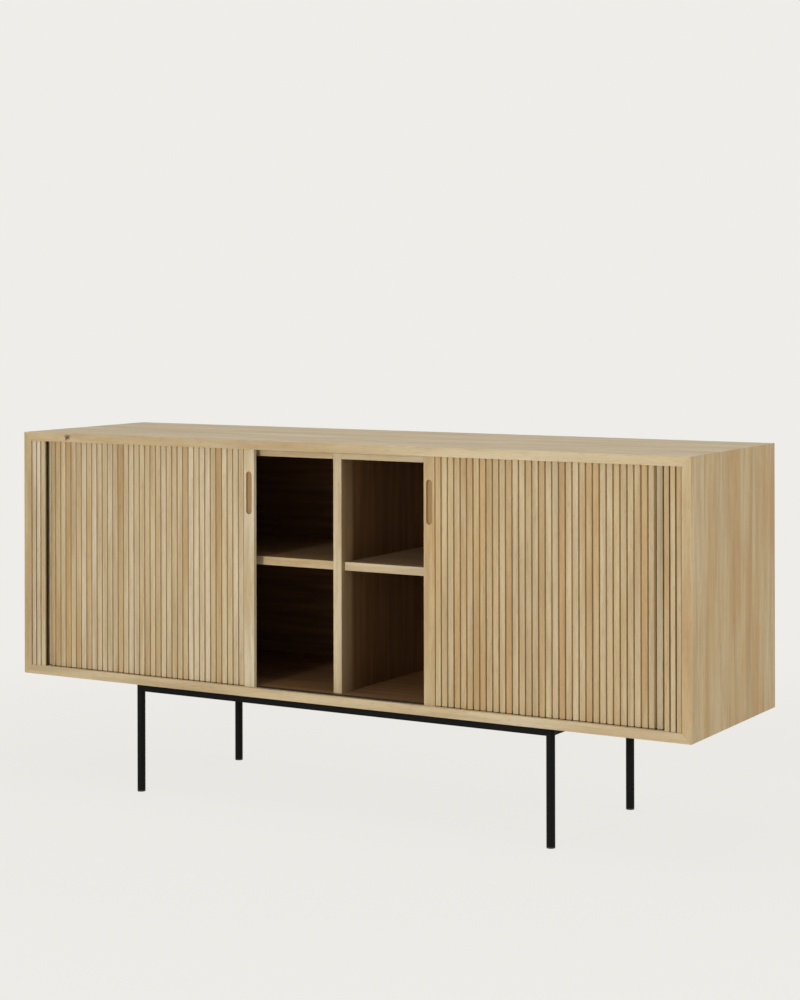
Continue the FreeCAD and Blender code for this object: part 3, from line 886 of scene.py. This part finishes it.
def dress_back():
    """Back panel, with dark stain and painted shade on its inner face."""
    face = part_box("back_panel")[0].y

    # Dark stain and painted shade on the inner face
    def inner_face(tree, axes):
        return minus(tree, 1, ramp_between(tree, axes["Y"], face + SKIN_FULL, face + SKIN_START))

    cut = Cut(cad_box[0], X_AXIS, Z_AXIS, BACK_STAVE, BACK_SEED, BOARD_TONES)
    dress("back_panel", oak_finish("oak_back", cut, (inner_face, stain_and_shade_colour)), BACK_EDGE)


def dress_uprights():
    """Divider and partitions, bare at the front edge, with dark stain and painted shade that deepen
    further in behind it.
    """
    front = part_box("centre_divider")[0].y

    # Dark stain and painted shade, deeper further in
    def fading_in(tree, axes):
        edge = ramp_between(tree, axes["Y"], front + LIPPING_START, front + LIPPING_END)
        deep = ramp_between(tree, axes["Y"], front + LIPPING_START, front + FADE_END)
        return larger(tree, times(tree, edge, UPRIGHT_SHARE), deep)

    cut = Cut(cad_box[0], Z_AXIS, X_AXIS, WHOLE_STAVE, UPRIGHT_SEED, BOARD_TONES)
    stained_and_shaded = oak_finish("oak_upright", cut, (fading_in, stain_and_shade_colour))
    for name in ("centre_divider", "left_partition", "right_partition"):
        dress(name, stained_and_shaded, INNER_EDGE)


def dress_levels():
    """Shelves and ceiling boards, bare at the front edge, with dark stain and painted shade behind it.
    """

    # Dark stain and painted shade behind the front edge
    def behind(front):
        def mask(tree, axes):
            deep = ramp_between(tree, axes["Y"], front + LIPPING_START, front + LIPPING_END)
            return times(tree, deep, LEVEL_SHARE)

        return mask

    for kind in ("shelf", "ceiling"):
        for side in SIDES:
            name = "%s_%s" % (side, kind)
            cut = Cut(cad_box[0], X_AXIS, Y_AXIS, WHOLE_STAVE, LEVEL_SEEDS[side], LEVEL_TONES[side])
            layer = (behind(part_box(name)[0].y), stain_and_shade_colour)
            dress(name, oak_finish("oak_" + name, cut, layer), INNER_EDGE)


def dress_frame():
    """Steel frame with its glides, and the small steel fittings."""
    coat = powder_coat()
    for name in ("front_rail", "rear_rail", "left_end_rail", "right_end_rail", "frame_tabs"):
        dress(name, coat, RAIL_EDGE)
    for name in ("front_left_leg", "front_right_leg", "rear_left_leg", "rear_right_leg"):
        dress(name, coat)
    dress("foot_glides", moulded_plastic())
    dress("shelf_pins", zinc)
    dress("frame_screws", zinc)


def shows_backdrop(tree):
    """1 for rays that show the backdrop: from the camera, off gloss or through glass."""
    rays = node(tree, "ShaderNodeLightPath", {}).outputs
    return larger(tree, larger(tree, rays["Is Camera Ray"], rays["Is Glossy Ray"]),
                  rays["Is Transmission Ray"])


def pale_stage():
    """Floor under the cabinet, which looks to the camera like the backdrop but for a faint shadow."""
    corners = [(x * FLOOR_HALF, y * FLOOR_HALF, 0) for x, y in ((-1, -1), (1, -1), (1, 1), (-1, 1))]
    mesh = bpy.data.meshes.new("studio_floor")
    mesh.from_pydata(corners, [], [(0, 1, 2, 3)])
    floor = bpy.data.objects.new("studio_floor", mesh)
    bpy.context.scene.collection.objects.link(floor)
    material, tree, surface = new_material("studio_floor")
    tree.nodes.remove(surface)
    paint = node(tree, "ShaderNodeBsdfDiffuse", {"Color": FLOOR_PAINT})
    glow = node(tree, "ShaderNodeEmission", {"Color": STUDIO_GREY, "Strength": 1})
    away = vectors(tree, "LENGTH", object_place(tree))["Value"]
    plain = spread(tree, ramp_between(tree, away, *SHADOW_FADE), *PLAIN_SHARES)
    flat_share = times(tree, shows_backdrop(tree), plain)
    mixed = node(tree, "ShaderNodeMixShader", {0: flat_share, 1: paint.outputs[0], 2: glow.outputs[0]})
    feed(tree, tree.nodes["Material Output"], {"Surface": mixed.outputs[0]})
    mesh.materials.append(material)


def pale_world():
    """Even soft light all round, which the camera sees as the plain backdrop."""
    world = bpy.data.worlds.new("studio")
    bpy.context.scene.world = world
    world.use_nodes = True
    tree = world.node_tree
    even = tree.nodes["Background"]
    feed(tree, even, {"Color": WORLD_LIGHT, "Strength": WORLD_STRENGTH})
    plain = node(tree, "ShaderNodeBackground", {"Color": STUDIO_GREY, "Strength": 1})
    mixed = node(tree, "ShaderNodeMixShader",
                 {0: shows_backdrop(tree), 1: even.outputs[0], 2: plain.outputs[0]})
    feed(tree, tree.nodes["World Output"], {"Surface": mixed.outputs[0]})


def soft_lamp(name, place, target, size, power):
    """Square soft box at a place, turned to its target."""
    lamp = bpy.data.lights.new(name, "AREA")
    lamp.size = size
    lamp.energy = power
    lamp.color = LAMP_COLOUR
    holder = bpy.data.objects.new(name, lamp)
    holder.location = place
    holder.rotation_euler = (Vector(target) - Vector(place)).to_track_quat("-Z", "Y").to_euler()
    bpy.context.scene.collection.objects.link(holder)


def photo_camera():
    """Camera at the place, turn and small roll of the fit, with the horizon shifted to its row."""
    camera = bpy.data.cameras.new("photo_camera")
    camera.sensor_fit = "VERTICAL"
    camera.sensor_height = SENSOR_HEIGHT
    camera.lens = FOCAL_LENGTH / IMAGE_HEIGHT * SENSOR_HEIGHT
    camera.shift_y = HORIZON_ROW / IMAGE_HEIGHT - 0.5
    holder = bpy.data.objects.new("photo_camera", camera)
    turn = Euler((math.pi / 2, 0, CAMERA_TURN)).to_matrix().to_4x4()
    holder.matrix_world = Matrix.Translation(CAMERA_PLACE) @ turn @ Matrix.Rotation(CAMERA_ROLL, 4, "Z")
    bpy.context.scene.collection.objects.link(holder)
    bpy.context.scene.camera = holder


oak_figure = oak_figure_group()
stain_and_shade_tree = stain_and_shade_group()
weave = canvas_weave()
zinc = zinc_plate()

dress_top()
dress_sides()
dress_bottom()
dress_back()
dress_uprights()
dress_levels()
for side_name, side_sign in SIDES.items():
    dress_curtain(side_name, side_sign)
dress_frame()
back_screws()

pale_stage()
pale_world()
for soft_box in LAMPS:
    soft_lamp(*soft_box)
photo_camera()
bpy.context.scene.view_settings.view_transform = "Standard"
